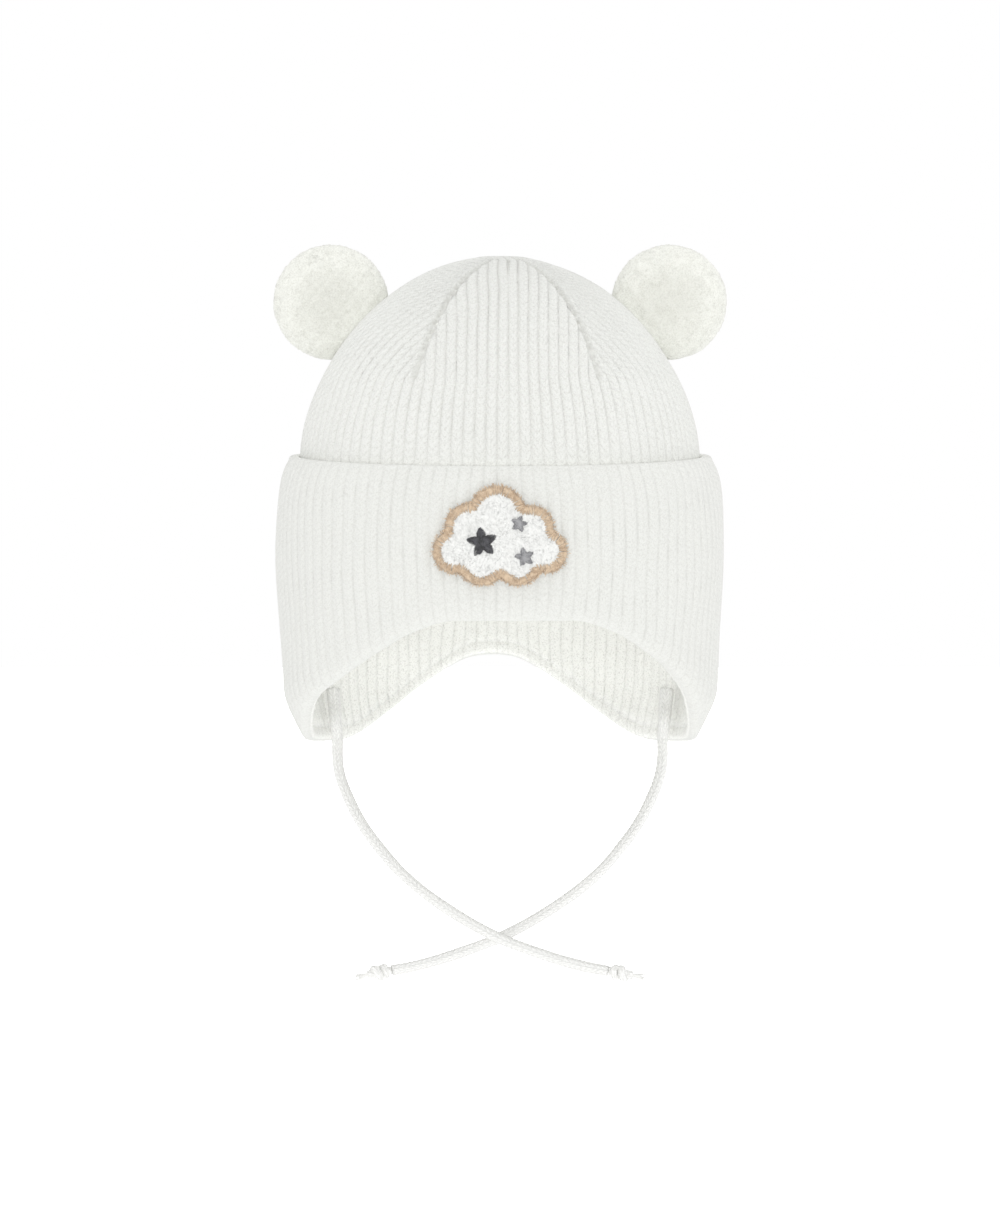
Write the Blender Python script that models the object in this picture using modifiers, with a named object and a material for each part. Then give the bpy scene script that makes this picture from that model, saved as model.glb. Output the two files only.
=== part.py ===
# Knitted baby hat: a ribbed crown, a turned-up brim cut into ear flaps, two plush ears,
# an applique cloud with three stars, and two knitted ties that end in knots.
# The origin is the inside top of the crown, where the hat sits on a head.
# +Z is up, -Y is the front of the hat and +X is the wearer's left. Sizes are in metres.

import math

import bmesh
import bpy
from mathutils import Vector

# Crown, outside the knit
CROWN_WIDTH = 0.1508
CROWN_DEPTH = 0.1420
DOME_HEIGHT = 0.0769
KNIT_WALL = 0.0030
OVAL_POWER = 2.35
DOME_FULLNESS = 1.8
DOME_ROUNDING = 0.52

# Ribs: the crown has a front, a back and two side panels, which meet at four decrease lines
RIBS_FRONT_PANEL = 18
RIBS_SIDE_PANEL = 34
RIB_RELIEF = 0.0012
DECREASE_START_SHARE = 0.89

# Brim and ear flaps
BRIM_WALL = 0.0082
FLAP_DROP = 0.1061
FLAP_TUCK_SHARE = 0.06
TUCK_START_SHARE = 0.80
TOP_ROLL = 0.0030
BOTTOM_ROLL = 0.0016

# Plush ears
EAR_DIAMETER = 0.0425
EAR_THICKNESS = 0.0180
EAR_FULLNESS_POWER = 0.72
EAR_DISH = 0.0016
EAR_SEAT_SHARE = 0.653
EAR_STAND_OFF = 0.0120
EAR_SET_BACK = 0.0060

# Applique
CLOUD_WIDTH = 0.0484
CLOUD_DROP = 0.0275
CLOUD_THICKNESS = 0.0016
CLOUD_SPOKES = 48
BORDER_WIDTH = 0.0034
BORDER_THICKNESS = 0.0010
BORDER_CROWN = 0.0006
STAR_THICKNESS = 0.0007
STAR_WAIST_SHARE = 0.50
STAR_SPOKES = 20

# Ties
TIE_DIAMETER = 0.0040
KNOT_DIAMETER = 0.0062
KNOT_LENGTH = 0.0090
TAIL_LENGTH = 0.0058

# What touches keeps this gap
CLEARANCE = 0.0003

# Height of the lower edge: azimuth from the front in degrees, and the drop as a share of FLAP_DROP
RIM_TABLE = (
    # azimuth, drop
    (0, 0.530),
    (12, 0.530),
    (20, 0.534),
    (31, 0.582),
    (40, 0.644),
    (54, 0.744),
    (62, 0.803),
    (72, 0.889),
    (86, 0.962),
    (102, 0.993),
    (118, 1.000),
    (133, 0.980),
    (147, 0.898),
    (160, 0.795),
    (171, 0.716),
    (180, 0.698),
)

# Rows of the crown below the brim's top, as shares of the way up from the lower edge
HIDDEN_ROWS = (0.0, 0.2)
DOME_ROWS = 6

# Outside of the brim: height as a share of the brim's own, and how much of the wall is outside the crown
BRIM_OUTSIDE = (
    # height, wall
    (0.02, 0.56),
    (0.10, 0.96),
    (0.95, 0.96),
)

# Lobes of the cloud, as shares of half its width
CLOUD_LOBES = (
    # across, up, radius
    (-0.04, 0.38, 0.42),
    (-0.47, 0.18, 0.35),
    (0.46, 0.16, 0.34),
    (-0.66, -0.20, 0.34),
    (0.67, -0.20, 0.33),
    (-0.27, -0.38, 0.34),
    (0.27, -0.38, 0.34),
)

# Stars on the cloud, as shares of half its width
STARS = (
    # name, across, up, radius, turn in degrees
    ("star_large", -0.26, -0.06, 0.235, 8),
    ("star_upper", 0.28, 0.22, 0.130, -14),
    ("star_lower", 0.36, -0.28, 0.150, 12),
)

# Route of a tie: how far across on its own side, how far behind the crown's middle, and height
TIE_ROUTE = (
    # across, back, height
    (0.0632, 0.0301, -0.1624),
    (0.0627, 0.0281, -0.1680),
    (0.0619, 0.0251, -0.1738),
    (0.0606, 0.0249, -0.1810),
    (0.0600, 0.0235, -0.1876),
    (0.0586, 0.0215, -0.1947),
    (0.0551, 0.0185, -0.2036),
    (0.0502, 0.0152, -0.2126),
    (0.0435, 0.0118, -0.2215),
    (0.0353, 0.0082, -0.2305),
    (0.0245, 0.0045, -0.2393),
    (0.0108, 0.0008, -0.2482),
    (0.0000, -0.0016, -0.2544),
    (-0.0095, -0.0036, -0.2580),
    (-0.0212, -0.0058, -0.2618),
    (-0.0318, -0.0076, -0.2645),
    (-0.0405, -0.0090, -0.2660),
)
TIE_POINTS = 20
TIE_CROSSING_HEIGHT = -0.2544
TIE_CROSSING_REACH = 0.030

RIBS = 2 * (RIBS_FRONT_PANEL + RIBS_SIDE_PANEL)
COLUMNS = 2 * RIBS
BRIM_TOP = KNIT_WALL - DOME_HEIGHT
WELD = 1e-6


def new_collection(name):
    collection = bpy.data.collections.new(name)
    bpy.context.scene.collection.children.link(collection)
    return collection


def clear_scene():
    for obj in list(bpy.data.objects):
        bpy.data.objects.remove(obj)


def material(name, colour, roughness):
    made = bpy.data.materials.new(name)
    made.use_nodes = True
    shader = made.node_tree.nodes["Principled BSDF"]
    shader.inputs["Base Color"].default_value = (*colour, 1.0)
    shader.inputs["Roughness"].default_value = roughness
    shader.inputs["Metallic"].default_value = 0.0
    return made


def smooth_step(value):
    value = max(0.0, min(1.0, value))
    return value * value * (3 - 2 * value)


def point(azimuth, radius, height):
    return Vector((radius * math.sin(azimuth), -radius * math.cos(azimuth), height))


def oval_radius(azimuth):
    """Outside radius of the crown at its full width."""
    across = abs(math.sin(azimuth)) / (CROWN_WIDTH / 2)
    along = abs(math.cos(azimuth)) / (CROWN_DEPTH / 2)
    return (across**OVAL_POWER + along**OVAL_POWER) ** (-1 / OVAL_POWER)


def dome_share(rise):
    """Radius of the dome at a share of its height, as a share of the full radius."""
    return (1 - min(rise, 1.0) ** DOME_FULLNESS) ** DOME_ROUNDING


def rim_drop(azimuth):
    """How far the lower edge lies below the brim's top, on a smooth curve through RIM_TABLE."""
    angle = abs(math.degrees(math.remainder(azimuth, 2 * math.pi)))
    rows = RIM_TABLE
    mirrored = [(-rows[1][0], rows[1][1]), *rows, (2 * rows[-1][0] - rows[-2][0], rows[-2][1])]
    for i in range(1, len(mirrored) - 2):
        if angle <= mirrored[i + 1][0]:
            break
    before, start, end, after = mirrored[i - 1 : i + 3]
    span = end[0] - start[0]
    part = (angle - start[0]) / span
    slope_in = (end[1] - before[1]) / (end[0] - before[0]) * span
    slope_out = (after[1] - start[1]) / (after[0] - start[0]) * span
    share = (
        (2 * part**3 - 3 * part**2 + 1) * start[1]
        + (part**3 - 2 * part**2 + part) * slope_in
        + (3 * part**2 - 2 * part**3) * end[1]
        + (part**3 - part**2) * slope_out
    )
    return share * FLAP_DROP


def lower_radius(azimuth, drop):
    """Outside radius of the crown's knit below the brim's top. The tips of the flaps tuck in."""
    tucked = smooth_step((drop / FLAP_DROP - TUCK_START_SHARE) / (1 - TUCK_START_SHARE))
    return oval_radius(azimuth) * (1 - FLAP_TUCK_SHARE * tucked)


def panel_of(column):
    """Middle column of the crown panel that a column belongs to, and half the panel's columns."""
    quarter = COLUMNS // 4
    middle = round(column / quarter) * quarter
    front_or_back = middle % (2 * quarter) == 0
    if front_or_back and abs(column - middle) <= RIBS_FRONT_PANEL:
        return middle, RIBS_FRONT_PANEL
    if front_or_back:
        middle += quarter if column > middle else -quarter
    return middle, RIBS_SIDE_PANEL


def rib_line(column, share):
    """Azimuth of a rib line at a share of the full radius, and whether its decrease line has ended it."""
    middle, half = panel_of(column)
    offset = (column - middle) / half
    narrowed = min(1.0, share / DECREASE_START_SHARE)
    ended = abs(offset) >= narrowed
    offset = math.copysign(1.0, offset) if ended else offset / narrowed
    return (middle + offset * half) * 2 * math.pi / COLUMNS, ended


def groove_depth(column, ended=False):
    """Ribs stand on the odd columns, and the even columns and the decrease lines are grooves."""
    return RIB_RELIEF if ended or column % 2 == 0 else 0.0


def crown_point(column, row):
    if row < len(HIDDEN_ROWS) + 1:
        azimuth = column * 2 * math.pi / COLUMNS
        up = (*HIDDEN_ROWS, 1.0)[row]
        drop = rim_drop(azimuth) * (1 - up)
        return point(azimuth, lower_radius(azimuth, drop) - groove_depth(column), BRIM_TOP - drop)
    rise = math.sin((row - len(HIDDEN_ROWS)) / DOME_ROWS * math.pi / 2)
    share = dome_share(rise)
    height = BRIM_TOP + DOME_HEIGHT * rise
    if share < WELD:
        return Vector((0.0, 0.0, height))
    azimuth, ended = rib_line(column, share)
    return point(azimuth, oval_radius(azimuth) * share - groove_depth(column, ended), height)


def brim_radius(azimuth, height):
    """Outside radius of the brim's ribs, straight between the rows of BRIM_OUTSIDE as its faces are."""
    drop = rim_drop(azimuth)
    up = 1 - (BRIM_TOP - height) / drop
    rows = BRIM_OUTSIDE
    for low, high in zip(rows, rows[1:]):
        if up <= high[0]:
            break
    wall = low[1] + (high[1] - low[1]) * (up - low[0]) / (high[0] - low[0])
    return lower_radius(azimuth, drop * (1 - up)) + CLEARANCE + BRIM_WALL * wall


def brim_section():
    """The brim's wall, once round: share of its height, share of its wall, extra height, and share of the relief."""
    inside = [(up, 0.0, 0.0, 0.0) for up in (*HIDDEN_ROWS, 1.0)]
    top = [(1.0, 0.50, TOP_ROLL, 0.6)]
    outside = [(up, wall, 0.0, 1.0) for up, wall in reversed(BRIM_OUTSIDE)]
    bottom = [(0.0, 0.25, -BOTTOM_ROLL, 0.5)]
    return inside + top + outside + bottom


def brim_point(column, row):
    section = brim_section()
    up, wall, extra, relief = section[row % len(section)]
    azimuth = column * 2 * math.pi / COLUMNS
    drop = rim_drop(azimuth) * (1 - up)
    radius = lower_radius(azimuth, drop) + CLEARANCE + BRIM_WALL * wall
    return point(azimuth, radius - groove_depth(column) * relief, BRIM_TOP - drop + extra)


def rolled_sheet(name, columns, rows, place):
    """A grid rolled round the hat. place(column, row) gives each corner, and corners that meet are welded."""
    mesh = bpy.data.meshes.new(name)
    shape = bmesh.new()
    bmesh.ops.create_grid(shape, x_segments=columns, y_segments=rows, size=0.5)
    for vertex in shape.verts:
        column = round((vertex.co.x + 0.5) * columns)
        row = round((vertex.co.y + 0.5) * rows)
        vertex.co = place(column % columns, row)
    bmesh.ops.remove_doubles(shape, verts=shape.verts, dist=WELD)
    shape.to_mesh(mesh)
    shape.free()
    return bpy.data.objects.new(name, mesh)


def face_outwards(obj):
    shape = bmesh.new()
    shape.from_mesh(obj.data)
    bmesh.ops.recalc_face_normals(shape, faces=shape.faces)
    shape.to_mesh(obj.data)
    shape.free()


def thicken(obj, thickness, offset):
    solid = obj.modifiers.new("wall", "SOLIDIFY")
    solid.thickness = thickness
    solid.offset = offset
    solid.use_even_offset = True


def finish(obj, collection, finish_material):
    collection.objects.link(obj)
    obj.data.materials.append(finish_material)
    if obj.type == "MESH":
        obj.data.shade_smooth()


def make_crown(collection, knit):
    crown = rolled_sheet("crown", COLUMNS, len(HIDDEN_ROWS) + DOME_ROWS, crown_point)
    face_outwards(crown)
    thicken(crown, KNIT_WALL, -1)
    finish(crown, collection, knit)


def make_brim(collection, knit):
    brim = rolled_sheet("brim", COLUMNS, len(brim_section()), brim_point)
    face_outwards(brim)
    finish(brim, collection, knit)


def make_crown_cutter(collection):
    """The space that the dome and its clearance take up, which the ears are cut back from."""

    def envelope_point(column, row):
        rise = math.sin(row / DOME_ROWS * math.pi / 2)
        azimuth = column * 2 * math.pi / RIBS
        radius = oval_radius(azimuth) * dome_share(rise)
        return point(azimuth, radius + 1.5 * CLEARANCE, BRIM_TOP + DOME_HEIGHT * rise + CLEARANCE)

    cutter = rolled_sheet("crown_envelope", RIBS, DOME_ROWS, envelope_point)
    shape = bmesh.new()
    shape.from_mesh(cutter.data)
    bmesh.ops.holes_fill(shape, edges=shape.edges, sides=0)
    bmesh.ops.recalc_face_normals(shape, faces=shape.faces)
    shape.to_mesh(cutter.data)
    shape.free()
    collection.objects.link(cutter)
    cutter.hide_render = True
    cutter.display_type = "WIRE"
    return cutter


def make_ear(name, side, cutter, collection, plush):
    """A stuffed disc that faces the front, with its foot cut to the dome."""
    seat = Vector((CROWN_WIDTH / 2 * dome_share(EAR_SEAT_SHARE), BRIM_TOP + DOME_HEIGHT * EAR_SEAT_SHARE))
    step = 0.01
    above = EAR_SEAT_SHARE + step
    beyond = Vector((CROWN_WIDTH / 2 * dome_share(above), BRIM_TOP + DOME_HEIGHT * above))
    along = (beyond - seat).normalized()
    centre = seat + Vector((along.y, -along.x)) * EAR_STAND_OFF
    shape = bmesh.new()
    bmesh.ops.create_uvsphere(shape, u_segments=18, v_segments=10, radius=1.0)
    for vertex in shape.verts:
        out = math.hypot(vertex.co.x, vertex.co.y)
        deep = math.copysign(abs(vertex.co.z) ** EAR_FULLNESS_POWER, vertex.co.z) * EAR_THICKNESS / 2
        if deep < 0:
            deep += EAR_DISH * smooth_step(1 - out)
        vertex.co = Vector((vertex.co.x * EAR_DIAMETER / 2, deep, vertex.co.y * EAR_DIAMETER / 2))
    mesh = bpy.data.meshes.new(name)
    bmesh.ops.recalc_face_normals(shape, faces=shape.faces)
    shape.to_mesh(mesh)
    shape.free()
    ear = bpy.data.objects.new(name, mesh)
    ear.location = (side * centre.x, EAR_SET_BACK, centre.y)
    foot = ear.modifiers.new("foot", "BOOLEAN")
    foot.operation = "DIFFERENCE"
    foot.solver = "EXACT"
    foot.object = cutter
    finish(ear, collection, plush)


def cloud_radius(angle):
    """Distance from the cloud's middle to its edge, the furthest of its lobes in that direction."""
    half = CLOUD_WIDTH / 2
    ray = Vector((math.cos(angle), math.sin(angle)))
    reach = 0.0
    for across, up, radius in CLOUD_LOBES:
        middle = Vector((across, up)) * half
        along = ray.dot(middle)
        inside = (radius * half) ** 2 - (middle.length_squared - along**2)
        if inside >= 0:
            reach = max(reach, along + math.sqrt(inside))
    return reach


def on_brim(across, up, lift):
    """A point over the front of the brim, from the cloud's middle along the brim's surface."""
    azimuth = across / (CROWN_DEPTH / 2 + BRIM_WALL)
    height = BRIM_TOP - CLOUD_DROP + up
    return point(azimuth, brim_radius(azimuth, height) + CLEARANCE + lift, height)


def applique(name, spokes, reach, section, middle=(0.0, 0.0)):
    """A thin closed piece laid on the brim. reach(angle) is the distance from its middle to its edge,
    and each row of the section is: share of the reach, how far in from there, and height over the brim."""
    shape = bmesh.new()
    rings = []
    for share, inset, lift in section:
        ring = []
        for spoke in range(spokes):
            angle = spoke * 2 * math.pi / spokes
            out = max(reach(angle) * share - inset, 0.0)
            place = on_brim(middle[0] + out * math.cos(angle), middle[1] + out * math.sin(angle), lift)
            ring.append(shape.verts.new(place))
        rings.append(ring)
    for ring, beyond in zip(rings, rings[1:]):
        for spoke in range(spokes):
            after = (spoke + 1) % spokes
            shape.faces.new([ring[spoke], ring[after], beyond[after], beyond[spoke]])
    bmesh.ops.remove_doubles(shape, verts=shape.verts, dist=WELD)
    bmesh.ops.recalc_face_normals(shape, faces=shape.faces)
    mesh = bpy.data.meshes.new(name)
    shape.to_mesh(mesh)
    shape.free()
    return bpy.data.objects.new(name, mesh)


def make_cloud(collection, white_plush, thread):
    section = (
        (0.0, 0.0, 0.0),
        (0.5, 0.0, 0.0),
        (1.0, 0.0, 0.0),
        (1.0, 0.0, CLOUD_THICKNESS * 0.6),
        (1.0, CLOUD_THICKNESS * 0.6, CLOUD_THICKNESS),
        (0.5, 0.0, CLOUD_THICKNESS),
        (0.0, 0.0, CLOUD_THICKNESS),
    )

    def ground_reach(angle):
        return cloud_radius(angle) - BORDER_WIDTH - CLEARANCE

    finish(applique("cloud_ground", CLOUD_SPOKES, ground_reach, section), collection, white_plush)
    section = (
        (1.0, 0.0, 0.0),
        (1.0, BORDER_WIDTH, 0.0),
        (1.0, BORDER_WIDTH, BORDER_THICKNESS),
        (1.0, BORDER_WIDTH / 2, BORDER_THICKNESS + BORDER_CROWN),
        (1.0, 0.0, BORDER_THICKNESS),
        (1.0, 0.0, 0.0),
    )
    finish(applique("cloud_border", CLOUD_SPOKES, cloud_radius, section), collection, thread)


def make_star(name, across, up, radius, turn, collection, thread):
    half = CLOUD_WIDTH / 2
    base = CLOUD_THICKNESS + CLEARANCE
    top = base + STAR_THICKNESS
    section = ((0.0, 0.0, base), (1.0, 0.0, base), (1.0, 0.0, top), (0.0, 0.0, top))

    def star_reach(angle):
        point_number = (angle - math.radians(90 + turn)) / (2 * math.pi) * 5
        from_tip = abs(point_number - round(point_number)) * 2
        return radius * half * (1 - (1 - STAR_WAIST_SHARE) * from_tip)

    star = applique(name, STAR_SPOKES, star_reach, section, (across * half, up * half))
    finish(star, collection, thread)


def smooth_route(route, count):
    """Points a like way apart on a smooth curve through the route's own points."""
    ends = [route[0] * 2 - route[1], *route, route[-1] * 2 - route[-2]]
    fine = []
    steps = 12
    for before, start, end, after in zip(ends, ends[1:], ends[2:], ends[3:]):
        for step in range(steps):
            part = step / steps
            fine.append(
                0.5
                * (
                    2 * start
                    + (end - before) * part
                    + (2 * before - 5 * start + 4 * end - after) * part**2
                    + (3 * start - before - 3 * end + after) * part**3
                )
            )
    fine.append(route[-1])
    lengths = [0.0]
    for start, end in zip(fine, fine[1:]):
        lengths.append(lengths[-1] + (end - start).length)
    spaced = []
    index = 0
    for number in range(count):
        wanted = lengths[-1] * number / (count - 1)
        while index < len(fine) - 2 and lengths[index + 1] < wanted:
            index += 1
        part = (wanted - lengths[index]) / (lengths[index + 1] - lengths[index])
        spaced.append(fine[index].lerp(fine[index + 1], min(part, 1.0)))
    return spaced


def tie_line(side, behind):
    """The middle of a tie. Where the two cross, one passes behind the other."""
    route = []
    for across, back, height in TIE_ROUTE:
        near = smooth_step(1 - abs(height - TIE_CROSSING_HEIGHT) / TIE_CROSSING_REACH)
        route.append(Vector((side * across, back + behind * near, height)))
    return smooth_route(route, TIE_POINTS)


def make_tie(name, line, collection, knit):
    curve = bpy.data.curves.new(name, "CURVE")
    curve.dimensions = "3D"
    curve.bevel_depth = TIE_DIAMETER / 2
    curve.bevel_resolution = 2
    curve.use_fill_caps = True
    spline = curve.splines.new("POLY")
    spline.points.add(len(line) - 1)
    for place, control in zip(line, spline.points):
        control.co = (*place, 1.0)
    finish(bpy.data.objects.new(name, curve), collection, knit)


def make_knot(name, line, collection, knit):
    """A knot with a short frayed tail, turned about the tie's end."""
    tie_radius = TIE_DIAMETER / 2
    knot_radius = KNOT_DIAMETER / 2
    end_of_tail = -(KNOT_LENGTH + TAIL_LENGTH)
    profile = (
        (0.0, 0.0),
        (tie_radius, 0.0),
        (knot_radius * 0.9, -KNOT_LENGTH * 0.22),
        (knot_radius, -KNOT_LENGTH * 0.52),
        (knot_radius * 0.7, -KNOT_LENGTH * 0.85),
        (tie_radius * 0.8, -KNOT_LENGTH),
        (tie_radius * 1.05, -KNOT_LENGTH - TAIL_LENGTH * 0.55),
        (tie_radius * 0.45, end_of_tail),
        (0.0, end_of_tail),
    )
    mesh = bpy.data.meshes.new(name)
    mesh.from_pydata([(radius, 0.0, height) for radius, height in profile], [(i, i + 1) for i in range(8)], [])
    knot = bpy.data.objects.new(name, mesh)
    turn = knot.modifiers.new("turn", "SCREW")
    turn.steps = 12
    turn.render_steps = 12
    turn.use_merge_vertices = True
    turn.merge_threshold = 0.00005
    forward = (line[-1] - line[-2]).normalized()
    knot.rotation_mode = "QUATERNION"
    knot.rotation_quaternion = forward.to_track_quat("-Z", "Y")
    knot.location = line[-1] + forward * CLEARANCE
    finish(knot, collection, knit)


def make_hat():
    clear_scene()
    hat = new_collection("baby_hat_with_ears")
    cutters = new_collection("cutters")
    knit = material("cream_knit", (0.90, 0.89, 0.85), 0.9)
    plush = material("cream_plush", (0.89, 0.88, 0.82), 0.95)
    white_plush = material("white_plush", (0.93, 0.93, 0.92), 0.95)
    tan_thread = material("tan_thread", (0.58, 0.42, 0.29), 0.6)
    dark_thread = material("charcoal_thread", (0.07, 0.07, 0.08), 0.5)
    grey_thread = material("grey_thread", (0.30, 0.30, 0.31), 0.5)
    make_crown(hat, knit)
    make_brim(hat, knit)
    cutter = make_crown_cutter(cutters)
    make_ear("ear_left", 1, cutter, hat, plush)
    make_ear("ear_right", -1, cutter, hat, plush)
    make_cloud(hat, white_plush, tan_thread)
    for name, across, up, radius, turn in STARS:
        thread = dark_thread if name == "star_large" else grey_thread
        make_star(name, across, up, radius, turn, hat, thread)
    for name, side, behind in (("left", 1, 0.0046), ("right", -1, 0.0)):
        line = tie_line(side, behind)
        make_tie("tie_" + name, line, hat, knit)
        make_knot("knot_" + name, line, hat, knit)


make_hat()
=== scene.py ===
import math

import bmesh
import bpy
import numpy as np
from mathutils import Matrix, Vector


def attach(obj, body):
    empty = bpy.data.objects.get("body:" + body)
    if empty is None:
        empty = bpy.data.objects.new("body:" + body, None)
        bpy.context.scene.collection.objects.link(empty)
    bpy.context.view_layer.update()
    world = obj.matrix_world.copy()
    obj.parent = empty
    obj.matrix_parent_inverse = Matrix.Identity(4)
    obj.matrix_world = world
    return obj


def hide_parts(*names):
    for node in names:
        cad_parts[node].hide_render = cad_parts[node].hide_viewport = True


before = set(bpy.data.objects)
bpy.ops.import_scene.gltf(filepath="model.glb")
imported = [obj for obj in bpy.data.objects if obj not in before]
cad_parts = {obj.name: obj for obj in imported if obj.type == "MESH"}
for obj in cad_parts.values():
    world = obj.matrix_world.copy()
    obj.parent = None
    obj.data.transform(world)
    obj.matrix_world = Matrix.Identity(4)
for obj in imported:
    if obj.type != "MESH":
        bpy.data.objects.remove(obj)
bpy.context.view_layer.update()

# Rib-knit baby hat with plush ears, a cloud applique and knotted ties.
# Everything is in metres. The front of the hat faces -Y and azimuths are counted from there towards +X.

fullTurn = 2 * math.pi

# Camera, at the height and distance of a product photograph
cameraSetup = {
    "distance": 3.0,
    "elevation": 2.5,
    "aim": (0.0, 0.0, -0.1316),
    "frameHeight": 0.4586,
}


def makeCamera(setup):
    data = bpy.data.cameras.new("photoCamera")
    data.sensor_fit = "VERTICAL"
    data.sensor_height = 36.0
    data.lens = 36.0 * setup["distance"] / setup["frameHeight"]
    data.clip_end = 50.0
    camera = bpy.data.objects.new("photoCamera", data)
    bpy.context.scene.collection.objects.link(camera)
    rise = math.radians(setup["elevation"])
    back = Vector((0.0, -math.cos(rise), math.sin(rise)))
    camera.location = Vector(setup["aim"]) + back * setup["distance"]
    camera.rotation_euler = (-back).to_track_quat("-Z", "Y").to_euler()
    bpy.context.scene.camera = camera


makeCamera(cameraSetup)

# The hat's sizes, nearly all of them the same as in the CAD part
hat = {
    "width": 0.1508,
    "depth": 0.1420,
    "domeHeight": 0.0769,
    "wall": 0.0030,
    "ovalPower": 2.35,
    "fullness": 1.8,
    "rounding": 0.52,
    "flapDrop": 0.1061,
    "flapTuck": 0.06,
    "tuckStart": 0.80,
    "brimWall": 0.0082,
    "brimOutside": 0.96,  # share of its wall at which the outside lies
    "gap": 0.0003,
    "ribs": 104,
    "decreaseStart": 0.89,
    "archLean": 4.0,  # degrees that the front arch sits off centre
    "archReach": (72, 24),  # azimuth by which the lean has gone, and over how much
    "backLean": 2.3,
    "backLower": 0.0015,
    "backReach": (108, 24),  # azimuth from which the back leans, and over how much
    "domeLow": 0.982,  # the knit's own dome against the solid's, in height and radius
    "domeSlim": 0.990,
}
brimTop = hat["wall"] - hat["domeHeight"]
rimRows = (
    (0, 0.530), (12, 0.530), (20, 0.534), (31, 0.582), (40, 0.644), (54, 0.744), (62, 0.803),
    (72, 0.889), (86, 0.962), (102, 0.993), (118, 1.000), (133, 0.980), (147, 0.898),
    (160, 0.795), (171, 0.716), (180, 0.698),
)  # azimuth in degrees, and drop of the lower edge as a share of flapDrop


def smoothStep(value):
    value = np.clip(value, 0.0, 1.0)
    return value * value * (3 - 2 * value)


def smoothRows(rows, steps=16):
    # a smooth curve through the rows of a table, mirrored at both ends
    rows = [tuple(map(float, row)) for row in rows]
    ends = [(2 * rows[0][0] - rows[1][0], rows[1][1]), *rows, (2 * rows[-1][0] - rows[-2][0], rows[-2][1])]
    xs, ys = [], []
    for before, start, end, after in zip(ends, ends[1:], ends[2:], ends[3:]):
        span = end[0] - start[0]
        slopeIn = (end[1] - before[1]) / (end[0] - before[0]) * span
        slopeOut = (after[1] - start[1]) / (after[0] - start[0]) * span
        for step in range(steps):
            t = step / steps
            xs.append(start[0] + span * t)
            ys.append(
                (2 * t**3 - 3 * t**2 + 1) * start[1] + (t**3 - 2 * t**2 + t) * slopeIn
                + (3 * t**2 - 2 * t**3) * end[1] + (t**3 - t**2) * slopeOut
            )
    xs.append(rows[-1][0])
    ys.append(rows[-1][1])
    return np.array(xs), np.array(ys)


rimCurve = smoothRows(rimRows)


def rimDrop(azimuth):
    signed = np.degrees((azimuth + np.pi) % fullTurn - np.pi)
    (archEnd, archOver), (backStart, backOver) = hat["archReach"], hat["backReach"]
    back = smoothStep((np.abs(signed) - backStart) / backOver)
    lean = hat["archLean"] * smoothStep((archEnd - np.abs(signed)) / archOver) + hat["backLean"] * back
    return np.interp(np.abs(signed - lean), *rimCurve) * hat["flapDrop"] + hat["backLower"] * back


def ovalRadius(azimuth):
    across = np.abs(np.sin(azimuth)) / (hat["width"] / 2)
    along = np.abs(np.cos(azimuth)) / (hat["depth"] / 2)
    return (across ** hat["ovalPower"] + along ** hat["ovalPower"]) ** (-1 / hat["ovalPower"])


def domeShare(rise):
    return (1 - np.clip(rise, 0.0, 1.0) ** hat["fullness"]) ** hat["rounding"]


def lowerRadius(azimuth, drop):
    tucked = smoothStep((drop / hat["flapDrop"] - hat["tuckStart"]) / (1 - hat["tuckStart"]))
    return ovalRadius(azimuth) * (1 - hat["flapTuck"] * tucked)


def place(azimuth, radius, height):
    azimuth, radius, height = np.broadcast_arrays(azimuth, radius, height)
    return np.stack([radius * np.sin(azimuth), -radius * np.cos(azimuth), height], axis=-1)


def ripple(a, b, seed=0.0):
    # slow unevenness, as hand-pulled knitting has, between -1 and 1
    return (
        np.sin(2.3 * a + 1.7 * b + seed) * 0.4
        + np.sin(-3.7 * a + 2.9 * b + 1.3 + 2 * seed) * 0.35
        + np.sin(5.3 * a - 4.1 * b + 2.1 + 3 * seed) * 0.25
    )


def ribShape(across):
    # 1 on the crest of a rib and 0 in the groove, for a position counted in ribs
    inside = np.abs(2 * (across % 1.0) - 1)
    return (1 - inside**2.4) ** 0.7


# Knit, plush and thread materials
def addNode(tree, kind, inputs=(), **settings):
    node = tree.nodes.new(kind)
    for key, value in settings.items():
        setattr(node, key, value)
    for number, value in enumerate(inputs):
        if value is None:
            continue
        if isinstance(value, bpy.types.NodeSocket):
            tree.links.new(value, node.inputs[number])
        else:
            node.inputs[number].default_value = value
    return node


def maths(tree, operation, *inputs):
    return addNode(tree, "ShaderNodeMath", inputs, operation=operation).outputs[0]


def plus(tree, first, second):
    return maths(tree, "ADD", first, second)


def less(tree, first, second):
    return maths(tree, "SUBTRACT", first, second)


def times(tree, first, second):
    return maths(tree, "MULTIPLY", first, second)


def ramp(tree, value, low, high, start=0.0, end=1.0):
    node = addNode(tree, "ShaderNodeMapRange", (value, low, high, start, end))
    node.interpolation_type = "SMOOTHSTEP"
    return node.outputs[0]


def mixColour(tree, factor, first, second):
    node = tree.nodes.new("ShaderNodeMix")
    node.data_type = "RGBA"
    tree.links.new(factor, node.inputs["Factor"])
    for name, value in (("A", first), ("B", second)):
        socket = next(i for i in node.inputs if i.name == name and i.type == "RGBA")
        if isinstance(value, bpy.types.NodeSocket):
            tree.links.new(value, socket)
        else:
            socket.default_value = (*value, 1.0)
    return next(o for o in node.outputs if o.type == "RGBA")


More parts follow.
